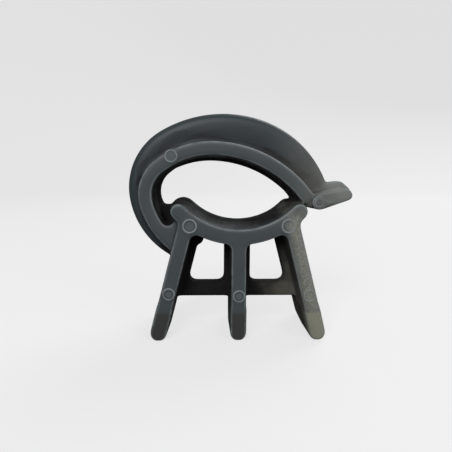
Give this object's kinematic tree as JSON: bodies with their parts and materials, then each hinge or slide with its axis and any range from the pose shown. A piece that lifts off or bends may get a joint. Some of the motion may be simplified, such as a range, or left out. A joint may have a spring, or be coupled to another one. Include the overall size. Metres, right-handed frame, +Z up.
{
  "type": "rebar chair",
  "caption": "Moulded plastic bar support with splayed legs, a curved seat and a springy arm that closes over the bar.",
  "frame": {"origin": "on the ground under the middle leg, halfway between the front and rear faces", "axes": "+Z up from the formwork to the bar, +Y along the bar from the front face to the rear, +X towards the tab"},
  "size_m": [0.0385, 0.0143, 0.0379],
  "materials": {
    "body": "satin moulded polypropylene, dusty on one side"
  },
  "bodies": {
    "root": {"clip_chair": "body"}
  },
  "joints": []
}
